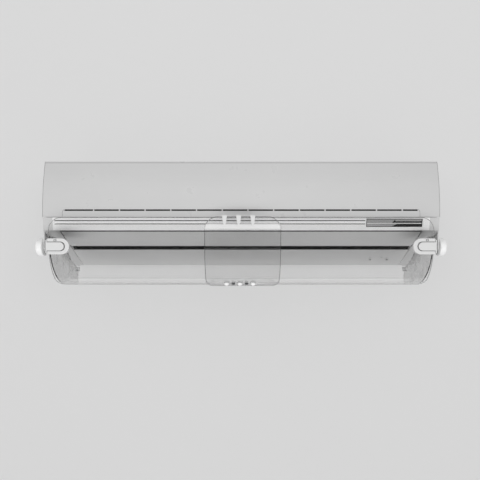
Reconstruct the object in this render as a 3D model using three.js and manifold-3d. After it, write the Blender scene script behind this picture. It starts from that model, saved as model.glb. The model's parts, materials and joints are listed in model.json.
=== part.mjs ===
// Wall-mounted split air conditioner (indoor unit) with a clear clip-on wind deflector.
//
// Frame: +X to the right as seen from the room, -Y out of the wall into the room, +Z up, in millimetres.
// The origin is the middle of the mounting plate's back face, so the wall is the plane y = 0.
// Sections are drawn as [depth, height]: depth is the distance from the wall (-y) and height is z.

import * as THREE from "three";
import { mergeVertices } from "three/addons/utils/BufferGeometryUtils.js";
import Module from "manifold-3d";

const wasm = await Module();
wasm.setup();

// ---------------------------------------------------------------- driving dimensions

const HALF_WIDTH = 525; // cabinet, centre to outside of a side wall
const TOP = 145; // cabinet top
const SKIN = 3; // moulded wall thickness
const BACK = 4; // cabinet's rear edge
const GAP = 0.3; // between pieces that touch

const CREASE = [207, -41]; // where the front fascia turns under
const HEEL = [15, -142]; // rear edge of the underside
const FASCIA_TOP = [214, -6.2];
const FRAME_FRONT = 170; // front face of the casing's frame, behind the front panel

const PANEL_HINGE = [190, 135];
const PANEL_ROLL = 10; // radius of the panel's rolled top edge
const PANEL_BOTTOM = -5;
const SLOT_LOW = 11; // intake slot across the front panel
const SLOT_HIGH = 15;
const SLOT_HALF = 467;
const SLOT_FIRST_RIB = -390;
const SLOT_PITCH = 68;
const SLOT_RIBS = 13;
const SLOT_RIB_WIDTH = 3;

const LOUVER_HALF = 480;
const LOUVER_CHORD = 91.5; // along the underside, from the crease
const OUTLET_REAR = 114; // where the chassis takes over again
const LOUVER_AXIS_S = 88;
const LOUVER_AXIS_H = 6;

const FAN_AXIS = [85, 13];
const FAN_RADIUS = 44;
const FAN_LEFT = -462;
const FAN_RIGHT = 418;
const FAN_BLADES = 16;

const BULKHEAD_LEFT = -475; // outer faces of the chassis end plates
const BULKHEAD_RIGHT = 430;

const FILTER_REAR = 162;
const FILTER_THICK = 5;
const FILTER_OUTER = 505;
const FILTER_INNER = 3;
const FILTER_BOTTOM = -4;

const VANE_CENTRE = [109.5, -62.3];
const VANE_ANGLE = 35; // the air leaves this far below the horizontal
const VANE_PITCH = 110;
const VANES_PER_SIDE = 4;
const VANE_FIRST = { left: -400, right: 40 };

const BUTTON_X = 415; // the push button for use without the remote control
const BUTTON_S = 166;
const BUTTON_RADIUS = 4;

const DEFLECTOR_HALF = 500;
const PIVOT = [183, -85]; // deflector's tilt axis
const BLADE_FRONT = 240; // outer face of the clear blade
const BLADE_TOP = -7;
const BLADE_BEND = { centre: [145, -62], a: 95, b: 128.5 }; // quarter ellipse of the blade's outer face
const BLADE_THICK = 3;
const BLADE_REAR = 82; // rear edge of the scoop's floor
const CHEEK_REAR_X = 478.8; // outer face of the end plate at its rear edge
const CHEEK_LEAN = 0.135; // outwards for each millimetre of depth
const JOINER_CENTRE = 4;
const JOINER_HALF = 99;
const CLIP_CENTRE = -6.5;
const CLIP_PITCH = 36.5;
const STUD_CENTRE = -3.2;
const STUD_PITCH = 35.8;
const STUD_ANGLE = 66; // round the blade's bend, in degrees
const BRACKET_Z = -82.5; // middle of the end brackets
const KNOB_RADIUS = 24.4;

// ---------------------------------------------------------------- solids and placing

const radians = THREE.MathUtils.degToRad;

// A closed three.js geometry as a manifold-3d solid, its corners rounded to a thousandth of a millimetre.
function solid(geometry) {
  const bare = geometry.index ? geometry.toNonIndexed() : geometry.clone();
  bare.deleteAttribute("normal");
  bare.deleteAttribute("uv");
  const merged = mergeVertices(bare, 1e-4);
  const corners = merged.attributes.position.array.map((v) => Math.round(v * 1000) / 1000);
  return new wasm.Manifold(
    new wasm.Mesh({
      numProp: 3,
      vertProperties: corners,
      triVerts: new Uint32Array(merged.index.array),
    }),
  );
}

// A manifold-3d solid as a three.js geometry.
function surface(made) {
  const mesh = made.getMesh();
  const geometry = new THREE.BufferGeometry();
  geometry.setAttribute("position", new THREE.BufferAttribute(mesh.vertProperties.slice(), 3));
  geometry.setIndex(new THREE.BufferAttribute(mesh.triVerts.slice(), 1));
  geometry.computeVertexNormals();
  return geometry;
}

const union = (...parts) => parts.reduce((all, part) => all.add(part));
const cut = (body, ...tools) => tools.reduce((left, tool) => left.subtract(tool), body);

// The mirror image in the plane x = 0, its triangles turned round again so that they face out.
function mirrored(made) {
  const geometry = surface(made).scale(-1, 1, 1);
  const corners = geometry.index.array;
  for (let i = 0; i < corners.length; i += 3) {
    [corners[i + 1], corners[i + 2]] = [corners[i + 2], corners[i + 1]];
  }
  return solid(geometry);
}

function extruded(points, depth) {
  const shape = new THREE.Shape(points.map(([u, v]) => new THREE.Vector2(u, v)));
  return new THREE.ExtrudeGeometry(shape, { depth, bevelEnabled: false });
}

// A [depth, height] outline extruded across the cabinet, from x0 to x1, leaning outwards with depth.
function alongX(outline, x0, x1, lean = 0) {
  const turn = new THREE.Matrix4().makeBasis(
    new THREE.Vector3(-lean, 1, 0),
    new THREE.Vector3(0, 0, 1),
    new THREE.Vector3(1, 0, 0),
  );
  const geometry = extruded(outline.map(([d, z]) => [-d, z]), x1 - x0);
  return solid(geometry.translate(0, 0, x0).applyMatrix4(turn));
}

// An [x, height] outline extruded out of the wall, from depth d0 to d1.
function outOfWall(outline, d0, d1) {
  const turn = new THREE.Matrix4().makeBasis(
    new THREE.Vector3(1, 0, 0),
    new THREE.Vector3(0, 0, 1),
    new THREE.Vector3(0, -1, 0),
  );
  return solid(extruded(outline, d1 - d0).translate(0, 0, d0).applyMatrix4(turn));
}

function box(x0, x1, d0, d1, z0, z1) {
  const geometry = new THREE.BoxGeometry(x1 - x0, d1 - d0, z1 - z0);
  return solid(geometry.translate((x0 + x1) / 2, -(d0 + d1) / 2, (z0 + z1) / 2));
}

// A round bar across the cabinet.
function barX([d, z], radius, x0, x1, sides = 24) {
  const geometry = new THREE.CylinderGeometry(radius, radius, x1 - x0, sides);
  return solid(geometry.rotateZ(-Math.PI / 2).translate((x0 + x1) / 2, -d, z));
}

// A profile of [x, radius] turned about an axis that runs across the cabinet.
function turnedX([d, z], profile, sides = 24) {
  const points = profile.map(([x, r]) => new THREE.Vector2(r, x));
  return solid(new THREE.LatheGeometry(points, sides).rotateZ(-Math.PI / 2).translate(0, -d, z));
}

// A polyline as a curve, so that an extrusion takes one step for each of its points.
class Route extends THREE.Curve {
  constructor(points) {
    super();
    this.points = points;
  }
  getPoint(t, target = new THREE.Vector3()) {
    const at = t * (this.points.length - 1);
    const i = Math.min(Math.floor(at + 1e-6), this.points.length - 2);
    return target.copy(this.points[i]).lerp(this.points[i + 1], at - i);
  }
  getPointAt(u, target) {
    return this.getPoint(u, target);
  }
  getTangent(t, target = new THREE.Vector3()) {
    const last = this.points.length - 1;
    const i = Math.round(t * last);
    const before = this.points[Math.max(i - 1, 0)];
    const after = this.points[Math.min(i + 1, last)];
    return target.copy(after).sub(before).normalize();
  }
  getTangentAt(u, target) {
    return this.getTangent(u, target);
  }
}

function ring(radius, sides) {
  return Array.from({ length: sides }, (_, i) => {
    const angle = (2 * Math.PI * (i + 0.5)) / sides;
    return [radius * Math.cos(angle), radius * Math.sin(angle)];
  });
}

// A round tube through [x, depth, height] points.
function tube(points, radius, sides) {
  const path = new Route(points.map(([x, d, z]) => new THREE.Vector3(x, -d, z)));
  const section = new THREE.Shape(ring(radius, sides).map(([u, v]) => new THREE.Vector2(u, v)));
  const steps = points.length - 1;
  return solid(new THREE.ExtrudeGeometry(section, { steps, extrudePath: path, bevelEnabled: false }));
}

// The points of a route of straight runs with its inner corners rounded to a radius.
function roundedRoute(corners, radius, steps = 5) {
  const at = corners.map((c) => new THREE.Vector3(...c));
  const points = [at[0]];
  for (let i = 1; i < at.length - 1; i++) {
    const into = at[i].clone().sub(at[i - 1]).normalize();
    const out = at[i + 1].clone().sub(at[i]).normalize();
    const start = at[i].clone().addScaledVector(into, -radius);
    const end = at[i].clone().addScaledVector(out, radius);
    const bend = new THREE.QuadraticBezierCurve3(start, at[i], end);
    points.push(...bend.getPoints(steps));
  }
  points.push(at[at.length - 1]);
  return points.map((p) => p.toArray());
}

// Points of an arc about [d, z], angles in degrees from +depth towards +height.
function arc([d, z], radius, from, to, steps) {
  return Array.from({ length: steps + 1 }, (_, i) => {
    const a = radians(from + ((to - from) * i) / steps);
    return [d + radius * Math.cos(a), z + radius * Math.sin(a)];
  });
}

// An [x, z] rectangle with its top corners rounded to one radius and its bottom corners to another.
function roundedOutline(x0, x1, z0, z1, topRadius, bottomRadius, steps = 8) {
  return [
    ...arc([x1 - topRadius, z1 - topRadius], topRadius, 0, 90, steps),
    ...arc([x0 + topRadius, z1 - topRadius], topRadius, 90, 180, steps),
    ...arc([x0 + bottomRadius, z0 + bottomRadius], bottomRadius, 180, 270, steps),
    ...arc([x1 - bottomRadius, z0 + bottomRadius], bottomRadius, 270, 360, steps),
  ];
}

// ---------------------------------------------------------------- sections that pieces share

const underLength = Math.hypot(HEEL[0] - CREASE[0], HEEL[1] - CREASE[1]);
const underDir = [(HEEL[0] - CREASE[0]) / underLength, (HEEL[1] - CREASE[1]) / underLength];
const underIn = [underDir[1], -underDir[0]]; // unit normal into the cabinet

// A point s along the underside from the crease, and h inside the cabinet.
const under = (s, h) => [
  CREASE[0] + s * underDir[0] + h * underIn[0],
  CREASE[1] + s * underDir[1] + h * underIn[1],
];

const louverAxis = under(LOUVER_AXIS_S, LOUVER_AXIS_H);

// A point round the blade's bend, h outside its outer face: 0 degrees is the front, 90 the floor.
function bend(angle, h) {
  const a = radians(angle);
  const { centre, a: rx, b: rz } = BLADE_BEND;
  return [centre[0] + (rx + h) * Math.cos(a), centre[1] - (rz + h) * Math.sin(a)];
}

// One face of the blade, h outside the outer face, from the top edge to the floor's rear edge.
function bladeFace(h, top = BLADE_TOP, steps = 16) {
  const round = Array.from({ length: steps + 1 }, (_, i) => bend((90 * i) / steps, h));
  const floor = BLADE_BEND.centre[1] - BLADE_BEND.b - h;
  return [[BLADE_FRONT + h, top], ...round, [BLADE_REAR, floor]];
}

const bladeSection = (inner, outer, top) => [
  ...bladeFace(outer, top),
  ...bladeFace(inner, top).reverse(),
];

// Everything behind the blade's outer face moved out by h, for cutting pieces that sit on it.
const behindBlade = (h) =>
  alongX([...bladeFace(h, 20), [BLADE_REAR, 20]], -DEFLECTOR_HALF - 30, DEFLECTOR_HALF + 30);

// ---------------------------------------------------------------- materials

const finish = (color, roughness, metalness = 0, opacity = 1) =>
  new THREE.MeshStandardMaterial({ color, roughness, metalness, opacity, transparent: opacity < 1 });

const materials = {
  white: finish(0xe9e9e8, 0.35),
  chassis: finish(0xb9bab9, 0.55),
  louver: finish(0xc8c8c7, 0.45),
  clear: finish(0xdfe3e4, 0.08, 0, 0.35),
  smoked: finish(0x2a2b2c, 0.12),
  steel: finish(0xa9abac, 0.4, 0.9),
  fins: finish(0xb4b8ba, 0.45, 0.8),
  copper: finish(0xb06a3c, 0.35, 0.9),
  black: finish(0x2b2b2b, 0.6),
  board: finish(0x2f5a3a, 0.5),
  mesh: finish(0x8d9499, 0.7),
  foam: finish(0x6d6f70, 0.9),
  rubber: finish(0x3a3a3a, 0.85),
  hose: finish(0xcfd0cf, 0.6),
};

const unit = new THREE.Group();

function add(name, made, material) {
  const mesh = new THREE.Mesh(surface(made), materials[material]);
  mesh.name = name;
  unit.add(mesh);
}

// ---------------------------------------------------------------- wall and chassis

function mountingPlate() {
  const sheet = box(-330, 330, 0, 1.5, -70, 70);
  const tabs = [-250, 250].map((x) =>
    union(
      box(x - 20, x + 20, 0, 1.5, 69, 86.5),
      box(x - 20, x + 20, 0, 13, 84, 86.5),
      box(x - 20, x + 20, 10.5, 13, 84, 98),
    ),
  );
  const windows = [-200, 0, 200].map((x) => box(x - 62, x + 62, -1, 3, 22, 48));
  const lower = [-200, 200].map((x) => box(x - 62, x + 62, -1, 3, -52, -26));
  return cut(union(sheet, ...tabs), ...windows, ...lower);
}

// Inner face of the fan's scroll: its radius grows from behind the fan to the outlet.
function scroll(offset) {
  const from = 150;
  const to = 262;
  const steps = 12;
  return Array.from({ length: steps + 1 }, (_, i) => {
    const share = i / steps;
    const radius = 49 + 23 * share ** 1.5 + offset;
    const angle = radians(from + (to - from) * share);
    return [FAN_AXIS[0] + radius * Math.cos(angle), FAN_AXIS[1] + radius * Math.sin(angle)];
  });
}

function rearChassis() {
  const outerScroll = scroll(SKIN).slice(3); // from level with the fan's axis downwards
  const section = [
    [47, 62],
    [47, 50],
    ...scroll(0),
    under(OUTLET_REAR, SKIN),
    under(OUTLET_REAR, 0),
    HEEL,
    under(underLength, SKIN),
    under(OUTLET_REAR + 6, SKIN),
    ...outerScroll.reverse(),
    [6, outerScroll[outerScroll.length - 1][1]],
    [6, 140],
    [9, 140],
    [9, 42],
    [40, 42],
    [44, 50],
    [44, 62],
  ];
  const duct = alongX(section, BULKHEAD_LEFT, BULKHEAD_RIGHT);
  const backWall = box(-518, 518, 6, 9, 8, 140);
  const heelLip = box(-481, 481, BACK, 17, HEEL[1], HEEL[1] + SKIN);
  const skinLine = [under(OUTLET_REAR, 0), HEEL, under(underLength, SKIN), under(OUTLET_REAR, SKIN)];
  const bottom = alongX(skinLine, -481, 481);
  const plate = [
    [6, 138],
    [118, 138],
    [150, 108],
    [160, -8],
    [131, -10],
    [131, -44],
    under(72, 10),
    under(OUTLET_REAR - 2, 6),
    [75, -60],
    [54, -42],
    [33, 8],
    [6, 9],
  ];
  const plates = [
    alongX(plate, BULKHEAD_LEFT, BULKHEAD_LEFT + SKIN),
    alongX(plate, BULKHEAD_RIGHT - SKIN, BULKHEAD_RIGHT),
  ];
  const ribLine = [under(OUTLET_REAR + 3, 1), under(underLength - 8, 1), [20, -122], [40, -98], [70, -72]];
  const ribs = [-440, -330].map((x) => alongX(ribLine, x, x + SKIN));
  const wiringDuct = box(-520, 480, 12, 28, 20, 36);
  const hookSlots = [-250, 250].map((x) => box(x - 24, x + 24, 4, 9.5, 78, 104));
  const vaneHoles = ["left", "right"].flatMap(vanePlaces).map((x) => vanePin(x, 0, 2.9, -36, -20));
  const shaftHole = barX(FAN_AXIS, 7, BULKHEAD_RIGHT - 5, BULKHEAD_RIGHT + 5);
  const bearingHole = barX(FAN_AXIS, 14, BULKHEAD_LEFT - 5, BULKHEAD_LEFT + 5);
  return cut(
    union(duct, backWall, heelLip, bottom, ...plates, ...ribs),
    wiringDuct,
    ...hookSlots,
    ...vaneHoles,
    buttonPin(BUTTON_RADIUS + 0.4, 12, 10),
    shaftHole,
    bearingHole,
  );
}

function drainPan() {
  const section = [
    [133, -40],
    [176, -40],
    [176, -14],
    [173.5, -14],
    [173.5, -37.5],
    [135.5, -37.5],
    [135.5, -18],
    [133, -18],
  ];
  const trough = alongX(section, -468, 455);
  const ends = [box(-468, -465.5, 133, 176, -40, -18), box(452.5, 455, 133, 176, -40, -18)];
  const hoseHole = barX([146, -29], 4, 450, 460, 12);
  return cut(union(trough, ...ends), hoseHole);
}

// ---------------------------------------------------------------- casing, panel and filters

function hingeEar(x0, x1) {
  const neck = [
    [186.4, 134],
    [190.4, 134],
    [190.6, 124],
    [193, 112],
    [176, 96],
    [168.8, 96],
    [168.8, 112],
    [180, 116],
    [186.2, 124],
  ];
  const ear = union(alongX(neck, x0, x1), barX(PANEL_HINGE, 6, x0, x1, 20));
  return cut(ear, barX(PANEL_HINGE, 4.2, x0 - 1, x1 + 1, 20));
}

function frontCasing() {
  const outside = [
    [BACK, TOP],
    [FRAME_FRONT, TOP],
    [FRAME_FRONT, FASCIA_TOP[1]],
    FASCIA_TOP,
    CREASE,
    HEEL,
    [BACK, HEEL[1]],
  ];
  const inside = [
    [0, TOP - SKIN],
    [FRAME_FRONT - 2.2, TOP - SKIN],
    [FRAME_FRONT - 2.2, -9.2],
    [210.2, -9.2],
    [204.8, -36],
    [179, -36],
    [179, -38.5],
    [203.3, -38.5],
    [202.3, -40],
    under(underLength, SKIN),
    [0, HEEL[1] + SKIN],
  ];
  // The louver and the rear chassis fill the underside between the end strips.
  const underside = [
    [214, -41],
    [204, -41],
    [204, -39],
    [100, -80],
    [0, -130],
    [0, -152],
    [18, -152],
  ];
  const endWall = [
    under(1, 1),
    under(118, 1),
    under(118, 22),
    under(60, 30),
    [180, -37],
    [205, -37],
  ];
  const opening = LOUVER_HALF + 3;
  const end = union(
    alongX(endWall, opening + 0.5, opening + 3.5),
    hingeEar(509, 513),
  );

  const rows = 9;
  const columns = 6;
  const columnPitch = 168;
  const grille = [];
  for (let row = 0; row < rows; row++) {
    for (let column = 0; column < columns; column++) {
      const x = (column - (columns - 1) / 2) * columnPitch;
      const d = 18 + row * 15.5;
      grille.push(box(x - 78, x + 78, d, d + 9, TOP - 5, TOP + 1));
    }
  }
  const slotFront = FILTER_REAR + FILTER_THICK + 0.5;
  const filterSlots = [
    box(-FILTER_OUTER - 2, -1, FILTER_REAR - 0.6, slotFront, TOP - 5, TOP + 1),
    box(1, FILTER_OUTER + 2, FILTER_REAR - 0.6, slotFront, TOP - 5, TOP + 1),
  ];
  const windowHole = box(331.6, 480.4, 198, 220, -31.4, -9.6);
  const pinHoles = [
    barX(louverAxis, 3, -LOUVER_HALF - 8, -LOUVER_HALF - 1, 16),
    barX(louverAxis, 3, LOUVER_HALF + 1, LOUVER_HALF + 8, 16),
  ];
  const shell = cut(
    alongX(outside, -HALF_WIDTH, HALF_WIDTH),
    alongX(inside, -HALF_WIDTH + SKIN, HALF_WIDTH - SKIN),
    alongX(underside, -opening, opening),
    box(-508, 508, 160, 175, -5, 122),
    ...grille,
    ...filterSlots,
    windowHole,
  );
  return cut(union(shell, end, mirrored(end)), ...pinHoles);
}

// The front panel's face, offset inwards, from its bottom edge to the roll along the top.
function panelFace(inset) {
  const curve = new THREE.SplineCurve(
    [
      [214.8, PANEL_BOTTOM],
      [215, 13],
      [213.5, 50],
      [209, 90],
      [200, PANEL_HINGE[1]],
    ].map(([d, z]) => new THREE.Vector2(d - inset, z)),
  );
  return curve.getPoints(12).map((p) => [p.x, p.y]);
}

function frontPanel() {
  const outer = [
    [172, 2],
    [182, PANEL_BOTTOM],
    ...panelFace(0),
    ...arc(PANEL_HINGE, PANEL_ROLL, 0, 180, 8).slice(1),
    [180, 131],
    [172, 124],
  ];
  const inner = [
    [160, PANEL_BOTTOM + SKIN],
    [214.8 - SKIN, PANEL_BOTTOM + SKIN],
    ...panelFace(SKIN).slice(2),
    ...arc(PANEL_HINGE, PANEL_ROLL - SKIN, 0, 180, 8).slice(1),
    [183, 131],
    [160, 131],
  ];
  const side = HALF_WIDTH - SKIN;
  const openBottom = box(-side, side, 160, 200, PANEL_BOTTOM - 1, PANEL_BOTTOM + SKIN + 0.5);
  const shell = cut(alongX(outer, -HALF_WIDTH, HALF_WIDTH), alongX(inner, -side, side), openBottom);
  const pins = [
    barX(PANEL_HINGE, 3.8, 504, HALF_WIDTH - 1, 16),
    barX(PANEL_HINGE, 3.8, -HALF_WIDTH + 1, -504, 16),
  ];
  const earNotches = [box(505, 515, 178, 185, 129, 135.5), box(-515, -505, 178, 185, 129, 135.5)];
  const slots = [];
  for (let i = 0; i <= SLOT_RIBS; i++) {
    const rib = SLOT_FIRST_RIB + i * SLOT_PITCH;
    const from = i === 0 ? -SLOT_HALF : rib - SLOT_PITCH + SLOT_RIB_WIDTH / 2;
    const to = i === SLOT_RIBS ? SLOT_HALF : rib - SLOT_RIB_WIDTH / 2;
    slots.push(box(from, to, 205, 220, SLOT_LOW, SLOT_HIGH));
  }
  return union(cut(shell, ...earNotches, ...slots), ...pins);
}

function filter() {
  const high = TOP - 0.5;
  const front = FILTER_REAR + FILTER_THICK;
  const frame = box(FILTER_INNER, FILTER_OUTER, FILTER_REAR, front, FILTER_BOTTOM, high);
  const columns = 6;
  const width = (FILTER_OUTER - FILTER_INNER - 5) / columns;
  const windows = [];
  for (let column = 0; column < columns; column++) {
    const x = FILTER_INNER + 5 + column * width;
    for (const [z0, z1] of [[1, 66], [70, 134]]) {
      windows.push(box(x, x + width - 4, FILTER_REAR - 1, FILTER_REAR + 2, z0, z1));
      windows.push(box(x, x + width - 4, FILTER_REAR + 2.8, front + 1, z0, z1));
    }
  }
  return cut(frame, ...windows);
}

// ---------------------------------------------------------------- display

function displayWindow() {
  return alongX([[213.25, -10], [209.05, -31], [206.5, -31], [210.7, -10]], 332, 480);
}

function displayBoard() {
  const board = alongX([[206.2, -13], [203.2, -28], [201.7, -28], [204.7, -13]], 345, 468);
  const plug = box(352, 370, 196, 204, -26, -16);
  return union(board, plug);
}

// ---------------------------------------------------------------- louver and vanes

function horizontalLouver() {
  const section = [
    under(5.5, 0.3),
    under(20, -0.6),
    under(45, -1),
    under(70, -0.6),
    under(LOUVER_CHORD, 0.8),
    under(LOUVER_CHORD, 3.6),
    under(70, 6),
    under(45, 6.5),
    under(20, 6),
    under(5.5, 3),
  ];
  const blade = alongX(section, -LOUVER_HALF, LOUVER_HALF);
  const end = union(
    barX(louverAxis, 5, LOUVER_HALF - 4, LOUVER_HALF, 20),
    barX(louverAxis, 2.5, LOUVER_HALF - 2, LOUVER_HALF + 8.5, 16),
  );
  return union(blade, end, mirrored(end));
}

// A small geared motor: its shaft sits off centre in the can.
function louverMotor() {
  const middle = under(LOUVER_AXIS_S, LOUVER_AXIS_H + 11);
  const x = LOUVER_HALF + 9;
  const can = barX(middle, 12.5, x, x + 17, 20);
  const tabs = box(x, x + 1.5, middle[0] - 19, middle[0] + 19, middle[1] - 3.5, middle[1] + 3.5);
  return union(can, tabs, barX(louverAxis, 2.6, x, x + 3, 12));
}

const flow = [Math.cos(radians(VANE_ANGLE)), -Math.sin(radians(VANE_ANGLE))];
const stem = [Math.sin(radians(VANE_ANGLE)), Math.cos(radians(VANE_ANGLE))];
const LINK_PIN = -21.2; // along the flow, from the vane's own pivot

// A point of the vanes' section: f along the air flow, w along the pivot.
const vanePoint = ([f, w]) => [
  VANE_CENTRE[0] + f * flow[0] + w * stem[0],
  VANE_CENTRE[1] + f * flow[1] + w * stem[1],
];

// A round pin parallel to the vanes' pivots.
function vanePin(x, f, radius, w0, w1) {
  const [d, z] = vanePoint([f, (w0 + w1) / 2]);
  const pin = new THREE.CylinderGeometry(radius, radius, w1 - w0, 12);
  return solid(pin.rotateX(Math.PI / 2 + radians(VANE_ANGLE)).translate(x, -d, z));
}

const vanePlaces = (side) =>
  Array.from({ length: VANES_PER_SIDE }, (_, i) => VANE_FIRST[side] + i * VANE_PITCH);

function vane(x) {
  const outline = [
    [-17.5, -15],
    [16, -15],
    [16, 15],
    [-14, 15],
    [-14, 3.4],
    [-22.8, 3.4],
    [-22.8, 0.4],
    [-17.5, 0.4],
  ];
  return union(
    alongX(outline.map(vanePoint), x - 1, x + 1),
    vanePin(x, 0, 2.5, -28, -14),
    vanePin(x, LINK_PIN, 1.3, 3, 8.6),
  );
}

function vaneLink(side) {
  const places = vanePlaces(side);
  const outline = [
    [-24, 4.6],
    [-18.4, 4.6],
    [-18.4, 7.4],
    [-24, 7.4],
  ];
  const bar = alongX(outline.map(vanePoint), places[0] - 8, places[places.length - 1] + 8);
  const holes = places.map((x) => vanePin(x, LINK_PIN, 1.9, 3, 9));
  return cut(bar, ...holes);
}

// ---------------------------------------------------------------- fan, coil and pipes

function crossFlowFan() {
  const parts = [0, 1, 2, 3].map((i) => {
    const x = FAN_LEFT + (i * (FAN_RIGHT - FAN_LEFT - 3)) / 3;
    return barX(FAN_AXIS, FAN_RADIUS, x, x + 3, 32);
  });
  for (let i = 0; i < FAN_BLADES; i++) {
    const turn = (360 * i) / FAN_BLADES;
    const at = (radius, angle) => {
      const a = radians(turn + angle);
      return [FAN_AXIS[0] + radius * Math.cos(a), FAN_AXIS[1] + radius * Math.sin(a)];
    };
    const outline = [at(32, 0), at(37, 4.5), at(43.4, 12), at(43.4, 14), at(37, 7), at(32, 2.6)];
    parts.push(alongX(outline, FAN_LEFT + 1, FAN_RIGHT - 1));
  }
  parts.push(barX(FAN_AXIS, 4, FAN_RIGHT - 2, 448, 16));
  parts.push(barX(FAN_AXIS, 4, FAN_LEFT - 16, FAN_LEFT + 2, 16));
  return union(...parts);
}

function fanMotor() {
  const profile = [
    [436, 0],
    [436, 20],
    [439, 22],
    [441, 37],
    [488, 37],
    [491, 22],
    [494, 20],
    [494, 0],
  ];
  const can = turnedX(FAN_AXIS, profile, 28);
  const lugs = box(452, 476, FAN_AXIS[0] - 44, FAN_AXIS[0] + 44, FAN_AXIS[1] - 5, FAN_AXIS[1] + 5);
  return cut(union(can, lugs), barX(FAN_AXIS, 5, 430, 452, 16));
}

function fanBearing() {
  return cut(barX(FAN_AXIS, 13.4, -480, -469, 24), barX(FAN_AXIS, 4.6, -482, -467, 16));
}

// A slab of the finned coil: its mid line runs from a to b, with two staggered columns of tube holes.
function coilSlab(a, b, rows) {
  const length = Math.hypot(b[0] - a[0], b[1] - a[1]);
  const dir = [(b[0] - a[0]) / length, (b[1] - a[1]) / length];
  const side = [dir[1], -dir[0]];
  const at = (t, n) => [a[0] + t * dir[0] + n * side[0], a[1] + t * dir[1] + n * side[1]];
  const half = 11;
  const pitch = 22;
  const outline = [at(0, -half), at(0, half), at(length, half), at(length, -half)];
  const near = Array.from({ length: rows }, (_, i) => at(10 + pitch * i, 5));
  const far = Array.from({ length: rows }, (_, i) => at(21 + pitch * i, -5)).reverse();
  return { outline, holes: [...near, ...far] };
}

const COIL_LEFT = -440;
const COIL_RIGHT = 400;

function finPack({ outline, holes }) {
  const shape = new THREE.Shape(outline.map(([d, z]) => new THREE.Vector2(-d, z)));
  for (const [d, z] of holes) {
    const rim = ring(4.4, 8).map(([u, v]) => new THREE.Vector2(-d + u, z + v));
    shape.holes.push(new THREE.Path(rim));
  }
  const turn = new THREE.Matrix4().makeBasis(
    new THREE.Vector3(0, 1, 0),
    new THREE.Vector3(0, 0, 1),
    new THREE.Vector3(1, 0, 0),
  );
  const depth = COIL_RIGHT - COIL_LEFT;
  const block = new THREE.ExtrudeGeometry(shape, { depth, bevelEnabled: false });
  return solid(block.translate(0, 0, COIL_LEFT).applyMatrix4(turn));
}

// One copper tube to and fro through every hole, with a return bend at each end.
function coilTube({ holes }) {
  const points = [[COIL_RIGHT + 12, ...holes[0]]];
  holes.forEach((hole, i) => {
    const goingLeft = i % 2 === 0;
    const end = goingLeft ? COIL_LEFT - 3 : COIL_RIGHT + 3;
    points.push([end, ...hole]);
    const next = holes[i + 1];
    if (!next) {
      return;
    }
    const radius = Math.hypot(next[0] - hole[0], next[1] - hole[1]) / 2;
    const steps = 5;
    for (let k = 1; k < steps; k++) {
      const a = (Math.PI * k) / steps;
      const share = (1 - Math.cos(a)) / 2;
      const out = radius * Math.sin(a) * (goingLeft ? -1 : 1);
      const depth = hole[0] + (next[0] - hole[0]) * share;
      points.push([end + out, depth, hole[1] + (next[1] - hole[1]) * share]);
    }
    points.push([end, ...next]);
  });
  points.push([COIL_RIGHT + 12, ...holes[holes.length - 1]]);
  return tube(points, 3.5, 6);
}

const frontCoil = coilSlab([150, -14], [128, 104], 5);
const rearCoil = coilSlab([119, 122], [36, 70], 4);

function connectingPipe(corners, radius, sides, nutRadius) {
  const end = corners[corners.length - 1];
  const pipe = tube(roundedRoute(corners, 22), radius, sides);
  return union(pipe, barX([end[1], end[2]], nutRadius, end[0] - 16, end[0] + 4, 6));
}

const liquidPipe = () =>
  connectingPipe([[492, 22, 96], [492, 22, -78], [-160, 22, -78]], 4, 8, 9);

const suctionPipe = () =>
  connectingPipe([[500, 46, 96], [500, 46, -80], [-200, 46, -80]], 9, 10, 13);

const drainHose = () =>
  tube(roundedRoute([[462, 146, -50], [462, 118, -66], [462, 24, -112], [-240, 24, -116]], 16), 8, 10);

// ---------------------------------------------------------------- electrical parts

function controlBox() {
  const shell = box(442, 514, 72, 156, 62, 136);
  return cut(shell, box(444, 512, 74, 154, 64, 137), box(440, 446, 100, 112, 66, 74));
}

function controlBoard() {
  const board = box(446, 510, 78, 150, 68, 70);
  const relay = box(452, 470, 84, 104, 69, 90);
  const terminals = box(476, 506, 124, 146, 69, 86);
  const capacitor = box(478, 500, 86, 108, 69, 96);
  return union(board, relay, terminals, capacitor);
}

// A round pin square to the underside, from a depth below it to a depth inside it.
function buttonPin(radius, below, inside) {
  const [d, z] = under(BUTTON_S, (inside - below) / 2);
  const pin = new THREE.CylinderGeometry(radius, radius, inside + below, 20);
  return solid(pin.rotateX(Math.atan2(underIn[1], -underIn[0])).translate(BUTTON_X, -d, z));
}

const autoButton = () => buttonPin(BUTTON_RADIUS, 1.6, 6);

// ---------------------------------------------------------------- wind deflector, right-hand pieces

function wing() {
  const blade = alongX(bladeSection(-BLADE_THICK, 0), 0.5, DEFLECTOR_HALF);
  const outline = roundedOutline(-200, DEFLECTOR_HALF, -191, BLADE_TOP, 33, 20);
  return blade.intersect(outOfWall(outline, 60, 260));
}

// The end plate inside the blade: it leans, so that its rear edge is nearer the middle.
function cheek() {
  const floor = BLADE_BEND.centre[1] - BLADE_BEND.b + BLADE_THICK + GAP;
  const outline = [
    ...bladeFace(-BLADE_THICK - GAP, -56).slice(0, -1),
    [BLADE_REAR, floor],
    [BLADE_REAR, -149],
    [94, -141],
    [124, -122],
    [158, -84],
    [170, -72],
    [185, -65],
    [212, -58],
  ];
  const outer = CHEEK_REAR_X - CHEEK_LEAN * BLADE_REAR;
  return alongX(outline, outer - BLADE_THICK, outer, CHEEK_LEAN);
}

const restPad = () => barX([99, -149], 6, 467, 476.9, 16);

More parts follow.
